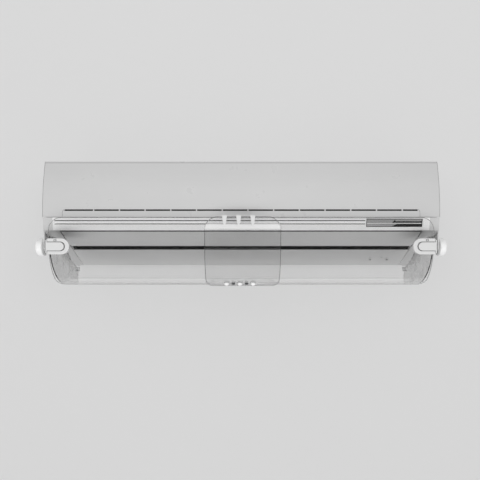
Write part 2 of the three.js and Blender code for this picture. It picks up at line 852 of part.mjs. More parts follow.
// The clear blade's U-shaped socket: it opens outwards and lies on the blade.
function receiver() {
  const outerEnd = 499.6;
  const middle = 464;
  const tall = 20.5;
  const inside = 12.2;
  const outline = [
    [outerEnd, BRACKET_Z + tall],
    ...arc([middle, BRACKET_Z], tall, 90, 270, 14),
    [outerEnd, BRACKET_Z - tall],
    [outerEnd, BRACKET_Z - inside],
    ...arc([middle + 2, BRACKET_Z], inside, 270, 90, 12),
    [outerEnd, BRACKET_Z + inside],
  ];
  return cut(outOfWall(outline, 226, 247), behindBlade(GAP));
}

// The tongue that slides into the socket, with the ear that turns on the pivot screw.
function hingeTongue() {
  const tall = 10.8;
  const outline = [
    [502, BRACKET_Z + tall],
    ...arc([467.5, BRACKET_Z], tall, 90, 270, 12),
    [502, BRACKET_Z - tall],
  ];
  const tongue = cut(outOfWall(outline, 226, 249), behindBlade(GAP * 2));
  const earLine = [
    [249, -66],
    [249, -99],
    [240, -104],
    [186, -98],
    [180, -80],
    [184, -72],
    [236, -62],
  ];
  const ear = union(alongX(earLine, 500.4, 503.4), barX(PIVOT, 13, 500.4, 503.4, 24));
  return cut(union(tongue, ear), barX(PIVOT, 3.4, 498, 506, 16));
}

function sideBracket() {
  const outline = [
    [130, -14],
    [194, -14],
    [198, -30],
    [197, -85],
    [169, -85],
    [152, -66],
    [130, -58],
  ];
  const plate = union(alongX(outline, 526.5, 530.4), barX(PIVOT, 14, 526.5, 530.4, 24));
  const boss = barX(PIVOT, 8, 503.8, 527, 20);
  return cut(union(plate, boss), barX(PIVOT, 3.4, 500, 535, 16));
}

const adhesivePad = () =>
  alongX([[134, -18], [190, -18], [194, -32], [172, -50], [134, -54]], 525.2, 526.2);

function knob() {
  const profile = [
    [531, 0],
    [531, 22.5],
    [532.5, KNOB_RADIUS],
    [544, KNOB_RADIUS],
    [549, 22.5],
    [552.5, 18],
    [554, 11],
    [554.5, 0],
  ];
  const dome = turnedX(PIVOT, profile, 32);
  return cut(dome, barX(PIVOT, 3.3, 530, 541, 16));
}

const pivotScrew = () => union(barX(PIVOT, 3, 498, 540, 16), barX(PIVOT, 5.5, 496.6, 500, 16));

// ---------------------------------------------------------------- wind deflector, middle

function joinerPlate() {
  const blade = alongX(
    bladeSection(GAP, GAP + BLADE_THICK, -5.5),
    JOINER_CENTRE - JOINER_HALF,
    JOINER_CENTRE + JOINER_HALF,
  );
  const outline = roundedOutline(
    JOINER_CENTRE - JOINER_HALF,
    JOINER_CENTRE + JOINER_HALF,
    -194,
    -5.5,
    34,
    22,
  );
  return blade.intersect(outOfWall(outline, 60, 260));
}

// Three tapered hooks over the blade's top edge, on one bar behind it.
function combClip() {
  const legs = [-1, 0, 1].map((i) => {
    const x = CLIP_CENTRE + i * CLIP_PITCH;
    const front = [
      [x - 6.5, -2.5],
      [x - 4.2, -22],
      [x - 2.4, -25.4],
      [x, -26.2],
      [x + 2.4, -25.4],
      [x + 4.2, -22],
      [x + 6.5, -2.5],
    ];
    return union(
      outOfWall(front, 243.6, 246.6),
      box(x - 6.5, x + 6.5, 233.7, 246.6, -5.2, -2.5),
      box(x - 5, x + 5, 233.7, 236.7, -18, -2.5),
    );
  });
  const bar = box(CLIP_CENTRE - 43, CLIP_CENTRE + 43, 233.7, 236.7, -11, -7);
  return union(...legs, bar);
}

function roundHead(x, radius, h) {
  const [d, z] = bend(STUD_ANGLE, h);
  const ball = new THREE.SphereGeometry(radius, 16, 12).translate(x, -d, z);
  return cut(solid(ball), behindBlade(BLADE_THICK + 2 * GAP));
}

// ---------------------------------------------------------------- assembly

const pair = (name, make, material) => {
  const right = make();
  add(`${name}_left`, mirrored(right), material);
  add(`${name}_right`, right, material);
};

add("mounting_plate", mountingPlate(), "steel");
add("rear_chassis", rearChassis(), "chassis");
add("drain_pan", drainPan(), "chassis");
add("front_casing", frontCasing(), "white");
add("front_panel", frontPanel(), "white");
pair("filter", filter, "mesh");
add("display_window", displayWindow(), "smoked");
add("display_board", displayBoard(), "board");

add("horizontal_louver", horizontalLouver(), "louver");
add("louver_motor", louverMotor(), "black");
for (const side of ["left", "right"]) {
  vanePlaces(side).forEach((x, i) => add(`vane_${side}_${i + 1}`, vane(x), "black"));
  add(`vane_link_${side}`, vaneLink(side), "black");
}

add("cross_flow_fan", crossFlowFan(), "black");
add("fan_motor", fanMotor(), "steel");
add("fan_bearing", fanBearing(), "rubber");
add("evaporator_front", finPack(frontCoil), "fins");
add("evaporator_rear", finPack(rearCoil), "fins");
add("coil_tube_front", coilTube(frontCoil), "copper");
add("coil_tube_rear", coilTube(rearCoil), "copper");
add("liquid_pipe", liquidPipe(), "copper");
add("suction_pipe", suctionPipe(), "foam");
add("drain_hose", drainHose(), "hose");
add("control_box", controlBox(), "white");
add("control_board", controlBoard(), "board");
add("auto_button", autoButton(), "white");

pair("wing", wing, "clear");
pair("cheek", cheek, "clear");
pair("rest_pad", restPad, "rubber");
pair("receiver", receiver, "white");
pair("hinge_tongue", hingeTongue, "white");
pair("side_bracket", sideBracket, "white");
pair("adhesive_pad", adhesivePad, "foam");
pair("pivot_screw", pivotScrew, "steel");
pair("knob", knob, "white");
add("joiner_plate", joinerPlate(), "clear");
add("comb_clip", combClip(), "white");
for (const i of [-1, 0, 1]) {
  add(`stud_${i + 2}`, roundHead(STUD_CENTRE + i * STUD_PITCH, 7.2, 6), "white");
}
for (const i of [0, 1]) {
  add(`joiner_screw_${i + 1}`, roundHead(STUD_CENTRE + (i - 0.5) * STUD_PITCH, 5.2, 5), "steel");
}

export default unit;
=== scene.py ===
"""Looks of the wall-hung air conditioner and its clear wind deflector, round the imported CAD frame."""
import json
import math

import bmesh
import bpy
from mathutils import Matrix, Vector

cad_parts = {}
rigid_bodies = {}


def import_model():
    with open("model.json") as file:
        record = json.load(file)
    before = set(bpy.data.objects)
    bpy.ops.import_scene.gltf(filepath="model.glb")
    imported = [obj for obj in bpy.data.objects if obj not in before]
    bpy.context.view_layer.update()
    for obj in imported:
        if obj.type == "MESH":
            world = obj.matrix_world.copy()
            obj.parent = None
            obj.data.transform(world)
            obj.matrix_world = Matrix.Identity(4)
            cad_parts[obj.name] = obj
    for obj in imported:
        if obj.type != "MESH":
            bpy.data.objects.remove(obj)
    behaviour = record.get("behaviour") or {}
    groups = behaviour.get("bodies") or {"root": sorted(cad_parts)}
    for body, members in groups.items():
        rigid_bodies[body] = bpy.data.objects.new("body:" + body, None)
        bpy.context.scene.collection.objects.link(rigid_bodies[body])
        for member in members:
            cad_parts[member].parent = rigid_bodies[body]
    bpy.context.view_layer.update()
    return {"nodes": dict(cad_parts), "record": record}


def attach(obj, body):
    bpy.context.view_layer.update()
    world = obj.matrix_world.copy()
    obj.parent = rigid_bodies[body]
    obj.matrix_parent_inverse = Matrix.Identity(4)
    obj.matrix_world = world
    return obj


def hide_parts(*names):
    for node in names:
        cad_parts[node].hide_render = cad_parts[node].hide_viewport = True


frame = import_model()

MM = 0.001
DEGREE = math.pi / 180

# Points shared with the CAD model, in millimetres as [depth from the wall, height].
CREASE = (207.0, -41.0)
HEEL = (15.0, -142.0)
PIVOT = (183.0, -85.0)
BEND_CENTRE = (145.0, -62.0)
FAN_AXIS = (85.0, 13.0)
FASCIA_TOP = (214.0, -6.2)

# The clear blade's bend and what sits on it, in millimetres; the angle is in degrees from its front.
BEND_DEPTH = 95.0
BEND_HEIGHT = 128.5
BLADE_FLOOR = BEND_CENTRE[1] - BEND_HEIGHT
JOINER_FACE = 3.7  # from the blade's outer face to the joiner's
STUD_ANGLE = 66
STUDS_X = (-39.0, -3.2, 32.6)
SCREWS_X = (-21.1, 14.7)

# Other heights, depths and places along X, in millimetres.
SOCKET_HEIGHT = -82.5
PANEL_FRONT = 214.9
PANEL_SIDE = 525
SLOTS_HALF = 468
LOUVER_HALF = 480
FAN_ENDS = (-462, 418)
TRIM_ENDS = (-494, 329)
COIL_ENDS = (-440.0, 399)

SIGN = {"left": -1, "right": 1}


# ------------------------------------------------------------------ geometry helpers


def at(x, depth, height):
    """The point at x, at that depth in front of the wall and that height, all in millimetres."""
    return Vector((x, -depth, height)) * MM


def under(along, inside):
    """[depth, height] of a point along the underside from its crease, and inside the cabinet."""
    run = math.dist(CREASE, HEEL)
    step = ((HEEL[0] - CREASE[0]) / run, (HEEL[1] - CREASE[1]) / run)
    return (
        CREASE[0] + along * step[0] + inside * step[1],
        CREASE[1] + along * step[1] - inside * step[0],
    )


def bend(angle, outside):
    """[depth, height] of a point round the clear blade's bend: 0 is its front, 90 its floor."""
    a = angle * DEGREE
    return (
        BEND_CENTRE[0] + (BEND_DEPTH + outside) * math.cos(a),
        BEND_CENTRE[1] - (BEND_HEIGHT + outside) * math.sin(a),
    )


def loft(rings, bm=None):
    """A closed skin through rings of points, with a flat cap on its first and last ring."""
    bm = bm or bmesh.new()
    rows = [[bm.verts.new(p) for p in ring] for ring in rings]
    faces = []
    for near, far in zip(rows, rows[1:]):
        for i in range(len(near)):
            j = (i + 1) % len(near)
            faces.append(bm.faces.new((near[i], near[j], far[j], far[i])))
    faces.append(bm.faces.new(rows[0][::-1]))
    faces.append(bm.faces.new(rows[-1]))
    bmesh.ops.recalc_face_normals(bm, faces=faces)
    return bm


def along_x(outline, x0, x1, bm=None):
    """A [depth, height] outline extruded from x0 to x1."""
    return loft([[at(x, d, z) for d, z in outline] for x in (x0, x1)], bm)


def box(x, depth, height, bm=None):
    """A block between three pairs of limits."""
    (d0, d1), (z0, z1) = depth, height
    return along_x([(d0, z0), (d1, z0), (d1, z1), (d0, z1)], x[0], x[1], bm)


def turned(profile, place, sides=64, bm=None):
    """A [length, radius] profile turned about the local Z axis, then put in place."""
    rings = []
    for length, radius in profile:
        circle = [2 * math.pi * i / sides for i in range(sides)]
        rings.append([place @ Vector((radius * math.cos(a), radius * math.sin(a), length)) for a in circle])
    return loft([[p * MM for p in ring] for ring in rings], bm)


def placed(x, depth, height, direction):
    """A local frame at that point whose Z axis is the direction (x, depth, height)."""
    z = Vector((direction[0], -direction[1], direction[2])).normalized()
    return Matrix.Translation(Vector((x, -depth, height))) @ z.to_track_quat("Z", "Y").to_matrix().to_4x4()


def tube(route, radii, sides=16, bm=None):
    """A round tube through the route's points (x, depth, height), with a radius at each."""
    points = [at(*p) for p in route]
    rings = []
    side = None
    for i, point in enumerate(points):
        ahead = points[min(i + 1, len(points) - 1)] - points[max(i - 1, 0)]
        ahead.normalize()
        if side is None:
            side = ahead.orthogonal().normalized()
        side = (side - ahead * side.dot(ahead)).normalized()
        other = ahead.cross(side)
        rings.append([])
        for k in range(sides):
            a = 2 * math.pi * k / sides
            rings[-1].append(point + (side * math.cos(a) + other * math.sin(a)) * radii[i] * MM)
    return loft(rings, bm)


def rounded_route(corners, radius, step):
    """Points about a step apart along straight runs joined by round bends."""
    corners = [Vector(c) for c in corners]
    dense = [corners[0]]
    for before, corner, after in zip(corners, corners[1:], corners[2:]):
        into = corner + (before - corner).normalized() * radius
        out = corner + (after - corner).normalized() * radius
        for k in range(9):
            t = k / 8
            dense.append(into * (1 - t) ** 2 + corner * (2 * t * (1 - t)) + out * t**2)
    dense.append(corners[-1])
    route = [dense[0]]
    for near, far in zip(dense, dense[1:]):
        parts = max(1, round((far - near).length / step))
        route += [near.lerp(far, (k + 1) / parts) for k in range(parts)]
    return route


SHARP_EDGE = 28  # degrees from which an edge is rounded


def smooth(obj, bevel=0.0, segments=2):
    """Shades an object smoothly and rounds its edges by modifiers."""
    for face in obj.data.polygons:
        face.use_smooth = True
    if bevel:
        plain = obj.modifiers.new("plain", "DECIMATE")
        plain.decimate_type = "DISSOLVE"
        plain.angle_limit = 0.4 * DEGREE
        edge = obj.modifiers.new("edge", "BEVEL")
        edge.width = bevel * MM
        edge.segments = segments
        edge.limit_method = "ANGLE"
        edge.angle_limit = SHARP_EDGE * DEGREE
        edge.miter_outer = "MITER_ARC"
        edge.harden_normals = False
    normals = obj.modifiers.new("normals", "WEIGHTED_NORMAL")
    normals.keep_sharp = True
    normals.weight = 80


def piece(name, bm, body, material, replaces=(), bevel=0.0):
    """A new object from a bmesh that rides on a CAD body and may stand for CAD nodes."""
    mesh = bpy.data.meshes.new(name)
    bm.to_mesh(mesh)
    bm.free()
    obj = bpy.data.objects.new(name, mesh)
    bpy.context.scene.collection.objects.link(obj)
    mesh.materials.append(material)
    smooth(obj, bevel)
    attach(obj, body)
    if replaces:
        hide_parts(*replaces)
    return obj


# ------------------------------------------------------------------ material helpers


DUST = (0.42, 0.41, 0.39)


class Nodes:
    """A material's node tree, with short ways to add and join its nodes."""

    def __init__(self, name):
        self.material = bpy.data.materials.new(name)
        self.material.use_nodes = True
        self.tree = self.material.node_tree
        self.shader = self.tree.nodes["Principled BSDF"]
        self.output = self.tree.nodes["Material Output"]
        self.place = self.add("ShaderNodeTexCoord").outputs["Object"]

    def add(self, kind, **settings):
        node = self.tree.nodes.new(kind)
        for key, value in settings.items():
            setattr(node, key, value)
        return node

    def join(self, source, target):
        self.tree.links.new(source, target)

    def stretched(self, scale):
        """The object's coordinates, scaled on each axis."""
        node = self.add("ShaderNodeMapping")
        self.join(self.place, node.inputs["Vector"])
        node.inputs["Scale"].default_value = scale
        return node.outputs["Vector"]

    def noise(self, scale, detail=3.0, roughness=0.55, place=None):
        node = self.add("ShaderNodeTexNoise")
        self.join(place or self.place, node.inputs["Vector"])
        node.inputs["Scale"].default_value = scale
        node.inputs["Detail"].default_value = detail
        node.inputs["Roughness"].default_value = roughness
        return node.outputs["Fac"]

    def cells(self, scale):
        node = self.add("ShaderNodeTexVoronoi", feature="F1")
        self.join(self.place, node.inputs["Vector"])
        node.inputs["Scale"].default_value = scale
        return node

    def math(self, operation, a, b=0.0):
        node = self.add("ShaderNodeMath", operation=operation)
        for socket, value in zip(node.inputs, (a, b)):
            if isinstance(value, (int, float)):
                socket.default_value = value
            else:
                self.join(value, socket)
        return node.outputs["Value"]

    def span(self, value, low, high, start=0.0, end=1.0):
        """Value from start..end mapped to low..high and held there."""
        node = self.add("ShaderNodeMapRange")
        self.join(value, node.inputs["Value"])
        node.inputs["From Min"].default_value = start
        node.inputs["From Max"].default_value = end
        node.inputs["To Min"].default_value = low
        node.inputs["To Max"].default_value = high
        return node.outputs["Result"]

    def blend(self, share, first, second):
        """Colour between two colours or sockets."""
        node = self.add("ShaderNodeMix", data_type="RGBA")
        self.join(share, node.inputs["Factor"])
        for socket, value in ((node.inputs["A"], first), (node.inputs["B"], second)):
            if isinstance(value, tuple):
                socket.default_value = (*value, 1)
            else:
                self.join(value, socket)
        return node.outputs["Result"]

    def bump(self, height, strength, distance, below=None):
        node = self.add("ShaderNodeBump")
        self.join(height, node.inputs["Height"])
        node.inputs["Strength"].default_value = strength
        node.inputs["Distance"].default_value = distance * MM
        if below:
            self.join(below, node.inputs["Normal"])
        return node.outputs["Normal"]

    def dust(self, colour, amount):
        """Dust that settles in patches on faces that look up."""
        normal = self.add("ShaderNodeNewGeometry").outputs["Normal"]
        up = self.add("ShaderNodeSeparateXYZ")
        self.join(normal, up.inputs["Vector"])
        facing = self.span(up.outputs["Z"], 0, 1, 0.35, 1.0)
        patchy = self.span(self.noise(38, 5, 0.65), 0.25, 1, 0.35, 0.7)
        share = self.math("MULTIPLY", self.math("MULTIPLY", facing, patchy), amount)
        return self.blend(share, colour, DUST)

    def use(self, colour, roughness, normal=None, **fixed):
        shader = self.shader
        self.join(colour, shader.inputs["Base Color"])
        if isinstance(roughness, (int, float)):
            shader.inputs["Roughness"].default_value = roughness
        else:
            self.join(roughness, shader.inputs["Roughness"])
        if normal:
            self.join(normal, shader.inputs["Normal"])
        for key, value in fixed.items():
            shader.inputs[key.replace("_", " ")].default_value = value
        return self.material


def grey(value):
    return (value, value, value)


CAP_SHADE_START = 499.5  # from here outwards the fascia's ends are darkened as painted shade
OUTLET_HALF = 482
OUTLET_BACK = 58


def painted(n, colour, where):
    """Matt black inside the air outlet, or painted shade that greys the underside and the fascia's ends, by
    the place on the cabinet.
    """
    spot = n.add("ShaderNodeSeparateXYZ")
    n.join(n.place, spot.inputs["Vector"])
    run = math.dist(CREASE, HEEL)
    slope = ((HEEL[1] - CREASE[1]) / run, (CREASE[0] - HEEL[0]) / run)
    offset = (-CREASE[0] * slope[0] - CREASE[1] * slope[1]) * MM
    from_depth = n.math("MULTIPLY", spot.outputs["Y"], -slope[0])
    from_height = n.math("MULTIPLY", spot.outputs["Z"], slope[1])
    inside = n.math("ADD", n.math("ADD", from_depth, from_height), offset)
    # painted shade: the underside below its plane and the fascia's outer ends turn grey
    if where == "underside":
        end = n.math("GREATER_THAN", n.math("ABSOLUTE", spot.outputs["X"]), CAP_SHADE_START * MM)
        below = n.math("LESS_THAN", inside, 0.75 * MM)
        return n.blend(below, n.blend(end, colour, grey(0.6)), grey(0.5))
    share = n.math("GREATER_THAN", inside, 1.2 * MM)
    share = n.math("MULTIPLY", share, n.math("LESS_THAN", spot.outputs["Y"], -OUTLET_BACK * MM))
    between = n.math("LESS_THAN", n.math("ABSOLUTE", spot.outputs["X"]), OUTLET_HALF * MM)
    share = n.math("MULTIPLY", share, between)
    return n.blend(share, colour, grey(0.006))


def moulded(name, tone, roughness, spread=0.08, grain=0.25, dust=0.0, mottle=0.03, paint=None, **fixed):
    """Injection-moulded plastic: faint flow mottling, a fine texture, a long ripple and some dust."""
    n = Nodes(name)
    tone = tone if isinstance(tone, tuple) else grey(tone)
    low = tuple(v * (1 - mottle) for v in tone)
    high = tuple(min(1, v * (1 + mottle)) for v in tone)
    flow = n.noise(1.0, 4, 0.6, n.stretched((4, 14, 14)))
    colour = n.blend(n.span(flow, 0, 1, 0.3, 0.7), low, high)
    if dust:
        colour = n.dust(colour, dust)
    if paint:
        colour = painted(n, colour, paint)
    rough = n.span(n.noise(22, 4, 0.6), roughness - spread, roughness + spread, 0.3, 0.7)
    ripple = n.bump(n.noise(9, 1, 0.4), 0.06, 0.3)
    texture = n.bump(n.noise(1500, 2, 0.6), grain, 0.03, ripple)
    return n.use(colour, rough, texture, **fixed)


CLEAR_TINT = 0.985


def see_through(n):
    """Lets lamps shine through a clear material: shadow rays pass with a little tint."""
    clear = n.add("ShaderNodeBsdfTransparent")
    clear.inputs["Color"].default_value = (*grey(CLEAR_TINT), 1)
    mix = n.add("ShaderNodeMixShader")
    n.join(n.add("ShaderNodeLightPath").outputs["Is Shadow Ray"], mix.inputs["Fac"])
    n.join(n.shader.outputs["BSDF"], mix.inputs[1])
    n.join(clear.outputs["BSDF"], mix.inputs[2])
    n.join(mix.outputs["Shader"], n.output.inputs["Surface"])
    return n.material


CLEAR_IOR = 1.38
# soft edge of the fold's painted highlight band
HIGHLIGHT_FADE = 1.5 * MM


def clear_sheet(name, tone, roughness, milk=0.0, milky_z=(0, 0)):
    """Polished clear sheet with faint wiping marks; between two heights its fold may be partly milky white,
    a painted highlight.
    """
    n = Nodes(name)
    smear = n.noise(1.0, 5, 0.7, n.stretched((9, 60, 30)))
    rough = n.span(smear, roughness * 0.4, roughness * 1.8, 0.35, 0.7)
    colour = n.blend(n.span(n.noise(7, 3), 0, 1, 0.3, 0.7), grey(tone * 0.985), grey(min(1, tone * 1.01)))
    wave = n.bump(n.noise(9, 2, 0.4), 0.1, 0.25)
    marks = n.bump(n.noise(1.0, 2, 0.5, n.stretched((300, 2400, 900))), 0.03, 0.02, wave)
    n.use(colour, rough, marks, Transmission_Weight=1.0, IOR=CLEAR_IOR)
    # painted highlight: between the two heights the sheet turns partly milky white
    if milk:
        spot = n.add("ShaderNodeSeparateXYZ")
        n.join(n.place, spot.inputs["Vector"])
        low, high = (z * MM for z in milky_z)
        fold = n.span(spot.outputs["Z"], 0, milk, low - HIGHLIGHT_FADE, low + HIGHLIGHT_FADE)
        end = n.span(spot.outputs["Z"], 1, 0, high - HIGHLIGHT_FADE, high + HIGHLIGHT_FADE)
        clear_share = n.math("SUBTRACT", 1.0, n.math("MULTIPLY", fold, end))
        n.join(clear_share, n.shader.inputs["Transmission Weight"])
    return see_through(n)


def spangled(name, tone):
    """Galvanised sheet: crystal patches of slightly different tone and gloss."""
    n = Nodes(name)
    patch = n.cells(160)
    share = n.add("ShaderNodeSeparateColor")
    n.join(patch.outputs["Color"], share.inputs["Color"])
    colour = n.blend(share.outputs["Red"], grey(tone * 0.82), grey(tone * 1.1))
    rough = n.span(share.outputs["Green"], 0.28, 0.5)
    relief = n.bump(n.noise(500, 3), 0.12, 0.04)
    return n.use(colour, rough, relief, Metallic=1.0)


def drawn_metal(name, tone, roughness, stretch=(30, 900, 900), stain=None):
    """Metal with fine lines along its length and dull patches."""
    n = Nodes(name)
    lines = n.noise(1.0, 3, 0.6, n.stretched(stretch))
    patch = n.span(n.noise(30, 4, 0.6), 0, 1, 0.45, 0.75)
    colour = n.blend(patch, tone, stain or tuple(v * 0.7 for v in tone))
    lined = n.span(lines, roughness - 0.06, roughness + 0.08, 0.3, 0.7)
    rough = n.math("ADD", lined, n.math("MULTIPLY", patch, 0.15))
    return n.use(colour, rough, n.bump(lines, 0.15, 0.02), Metallic=1.0)


def foamed(name, tone, cell, roughness=0.85):
    """Closed-cell foam or soft rubber: small dimples and a powdery variation."""
    n = Nodes(name)
    cells = n.cells(cell)
    colour = n.blend(n.span(n.noise(60, 4), 0, 1, 0.3, 0.7), grey(tone * 0.88), grey(min(1, tone * 1.06)))
    rough = n.span(n.noise(90, 3), roughness - 0.1, min(1, roughness + 0.08), 0.3, 0.7)
    return n.use(colour, rough, n.bump(cells.outputs["Distance"], 0.35, 0.12))


def board_material():
    """Solder-masked circuit board with fine tracks and dull pads."""
    n = Nodes("circuit_board")
    bricks = n.add("ShaderNodeTexBrick")
    n.join(n.stretched((420, 420, 420)), bricks.inputs["Vector"])
    bricks.inputs["Color1"].default_value = (0.02, 0.14, 0.055, 1)
    bricks.inputs["Color2"].default_value = (0.03, 0.19, 0.08, 1)
    bricks.inputs["Mortar"].default_value = (0.05, 0.3, 0.13, 1)
    bricks.inputs["Scale"].default_value = 1.0
    bricks.inputs["Mortar Size"].default_value = 0.08
    rough = n.span(n.noise(80, 3), 0.3, 0.5, 0.3, 0.7)
    return n.use(bricks.outputs["Color"], rough, n.bump(bricks.outputs["Fac"], 0.2, 0.05))


MATERIAL = {
    "cabinet_white": moulded(
        "cabinet_white", 0.58, 0.32, 0.06, 0.05, dust=0.05, mottle=0.012, Coat_Weight=0.15
    ),
    # a brighter copy of the cabinet's white, toned up against the shade under the panel, with painted shade
    # on its underside and ends
    "fascia_white": moulded(
        "fascia_white", 0.86, 0.22, 0.05, 0.05, dust=0.05, mottle=0.012, paint="underside", Coat_Weight=0.35
    ),
    "trim_white": moulded("trim_white", 0.93, 0.12, 0.03, 0.03, mottle=0.008, Coat_Weight=0.6),
    "chassis_plastic": moulded("chassis_plastic", 0.62, 0.5, 0.08, 0.35, dust=0.35),
    "chassis_with_outlet": moulded("chassis_with_outlet", 0.6, 0.5, 0.08, 0.3, dust=0.35, paint="outlet"),
    "louver_plastic": moulded("louver_plastic", 0.64, 0.42, 0.07, 0.25, dust=0.15),
    # one white plastic in two tones for how the lamps fall: the fittings darker as painted shade, the knobs
    # below brighter as painted light
    "fitting_white": moulded("fitting_white", 0.68, 0.28, 0.06, 0.12, mottle=0.015),
    "knob_white": moulded("knob_white", 0.92, 0.25, 0.05, 0.08, mottle=0.015),
    "smoked_plastic": moulded("smoked_plastic", 0.012, 0.08, 0.04, 0.02, Coat_Weight=0.5),
    "vane_plastic": moulded("vane_plastic", 0.025, 0.5, 0.1, 0.3, dust=0.5),
    "filter_plastic": moulded("filter_plastic", (0.2, 0.215, 0.225), 0.55, 0.1, 0.3, dust=0.4),
    "hose_plastic": moulded("hose_plastic", (0.66, 0.65, 0.62), 0.5, 0.1, 0.3, dust=0.3),
    "clear_plastic": clear_sheet("clear_plastic", 0.985, 0.05),
    # the joiner's fold between the two heights gets a milky painted highlight
    "joiner_plastic": clear_sheet("joiner_plastic", 0.95, 0.06, 0.42, (-38, -24)),
    "cheek_plastic": clear_sheet("cheek_plastic", 0.74, 0.2),
    # darker clear tint: painted shade for the dark lines at clear edges and round the rivet collars
    "rim_plastic": clear_sheet("rim_plastic", 0.62, 0.12),
    # lighter, rougher clear tint: painted highlight along the cheek's edge
    "rim_bright": clear_sheet("rim_bright", 0.97, 0.3),
    "stud_clear": moulded("stud_clear", 0.9, 0.15, 0.04, 0.03, mottle=0.02, Coat_Weight=0.4),
    "rubber_clear": clear_sheet("rubber_clear", 0.86, 0.22),
    "galvanised_plate": spangled("galvanised_plate", 0.6),
    "motor_steel": drawn_metal("motor_steel", (0.5, 0.51, 0.52), 0.35),
    "screw_steel": drawn_metal("screw_steel", (0.34, 0.34, 0.35), 0.3, (900, 900, 900)),
    "coil_fins": drawn_metal("coil_fins", (0.68, 0.71, 0.73), 0.35, (60, 500, 500)),
    "copper": drawn_metal("copper", (0.78, 0.4, 0.24), 0.22, stain=(0.45, 0.21, 0.12)),
    "circuit_board": board_material(),
    "rubber_black": foamed("rubber_black", 0.03, 900, 0.7),
    "pipe_foam": foamed("pipe_foam", 0.7, 420),
    "adhesive_foam": foamed("adhesive_foam", 0.55, 900),
    "edge_grey": moulded("edge_grey", 0.16, 0.5, 0.05, 0.1),
    # near-black stand-in for shade, used for the strips of painted shade in slots, grooves and gaps
    "dark_recess": moulded("dark_recess", 0.008, 0.7, 0.1, 0.3, Specular_IOR_Level=0.1),
    "groove_grey": moulded("groove_grey", 0.07, 0.6, 0.08, 0.2),
    # painted reflection and painted highlight for the display window
    "film_grey": moulded("film_grey", 0.34, 0.2, 0.05, 0.02, mottle=0.15, Coat_Weight=0.5),
    "film_light": moulded("film_light", 0.68, 0.25, 0.05, 0.02, Coat_Weight=0.5),
}


# ------------------------------------------------------------------ camera, stage and light

camera = bpy.data.objects.new("camera", bpy.data.cameras.new("camera"))
bpy.context.scene.collection.objects.link(camera)
camera.location = (-0.003, -1.465, -0.066)
camera.rotation_euler = (90 * DEGREE, 0, 0)
camera.data.sensor_width = 36
camera.data.lens = 35.475
camera.data.clip_start = 0.05
bpy.context.scene.camera = camera

STAGE = bpy.data.collections.new("stage")


def stage_plane(name, corners, material):
    """A flat sheet of the stage, facing the side from which its corners run anticlockwise."""
    mesh = bpy.data.meshes.new(name)
    mesh.from_pydata(corners, [], [range(len(corners))])
    mesh.materials.append(material)
    obj = bpy.data.objects.new(name, mesh)
    bpy.context.scene.collection.objects.link(obj)
    STAGE.objects.link(obj)


def wall_material():
    """Painted wall that shows only its front, so that the object's back can be looked at."""
    n = Nodes("painted_wall")
    colour = n.blend(n.noise(1.3, 2), grey(0.36), grey(0.375))
    n.use(colour, 0.9, n.bump(n.noise(260, 4, 0.6), 0.1, 0.12), Specular_IOR_Level=0.1)
    n.shader.inputs["Emission Color"].default_value = (1, 1, 1, 1)
    n.shader.inputs["Emission Strength"].default_value = WALL_GLOW
    clear = n.add("ShaderNodeBsdfTransparent")
    mix = n.add("ShaderNodeMixShader")
    path = n.add("ShaderNodeLightPath")
    behind = n.add("ShaderNodeNewGeometry").outputs["Backfacing"]
    hidden = n.math("MAXIMUM", behind, path.outputs["Is Shadow Ray"])
    hidden = n.math("MAXIMUM", hidden, path.outputs["Is Diffuse Ray"])
    n.join(hidden, mix.inputs["Fac"])
    n.join(n.shader.outputs["BSDF"], mix.inputs[1])
    n.join(clear.outputs["BSDF"], mix.inputs[2])
    n.join(mix.outputs["Shader"], n.output.inputs["Surface"])
    return n.material


def floor_material():
    """Pale floor that is dimmer in reflections, as the room is."""
    n = Nodes("pale_floor")
    tone = n.span(n.noise(3, 3), 0.7, 0.74)
    tone = n.math("MULTIPLY", tone, n.span(n.add("ShaderNodeLightPath").outputs["Is Glossy Ray"], 1.0, 0.25))
    colour = n.add("ShaderNodeCombineColor")
    for channel in ("Red", "Green", "Blue"):
        n.join(tone, colour.inputs[channel])
    return n.use(colour.outputs["Color"], 0.75, n.bump(n.noise(140, 3), 0.1, 0.2), Specular_IOR_Level=0.2)


WALL_GLOW = 0.425
WALL_HALF = 3.5
WALL_Y = 0.0016
WALL_TOP = 2.4
FLOOR_Z = -1.35
FLOOR_HALF = 9
AROUND = ((-1, -1), (1, -1), (1, 1), (-1, 1))
wall_corners = [(u * WALL_HALF, WALL_Y, FLOOR_Z if v < 0 else WALL_TOP) for u, v in AROUND]
stage_plane("wall", wall_corners, wall_material())
floor_corners = [(u * FLOOR_HALF, v * FLOOR_HALF, FLOOR_Z) for u, v in AROUND]
stage_plane("floor", floor_corners, floor_material())


def soft_light(name, place, aim, size, power, glossy=True, off=None):
    """A rectangular lamp the camera can't see; it may spare one collection and all reflections."""
    lamp = bpy.data.lights.new(name, "AREA")
    lamp.shape = "RECTANGLE"
    lamp.size, lamp.size_y = size
    lamp.energy = power
    obj = bpy.data.objects.new(name, lamp)
    obj.location = place
    obj.rotation_euler = (Vector(aim) - Vector(place)).to_track_quat("-Z", "Y").to_euler()
    obj.visible_camera = False
    obj.visible_glossy = glossy
    obj.visible_transmission = glossy
    if off:
        obj.light_linking.receiver_collection = off
        for link in off.collection_objects:
            link.light_linking.link_state = "EXCLUDE"
    bpy.context.scene.collection.objects.link(obj)


soft_light("key", (0.0, -2.7, 0.9), (0, -0.1, 0), (3.4, 1.6), 17)
soft_light("low_fill", (-0.1, -1.3, -0.9), (0, -0.15, -0.08), (3.2, 0.35), 14, glossy=False, off=STAGE)


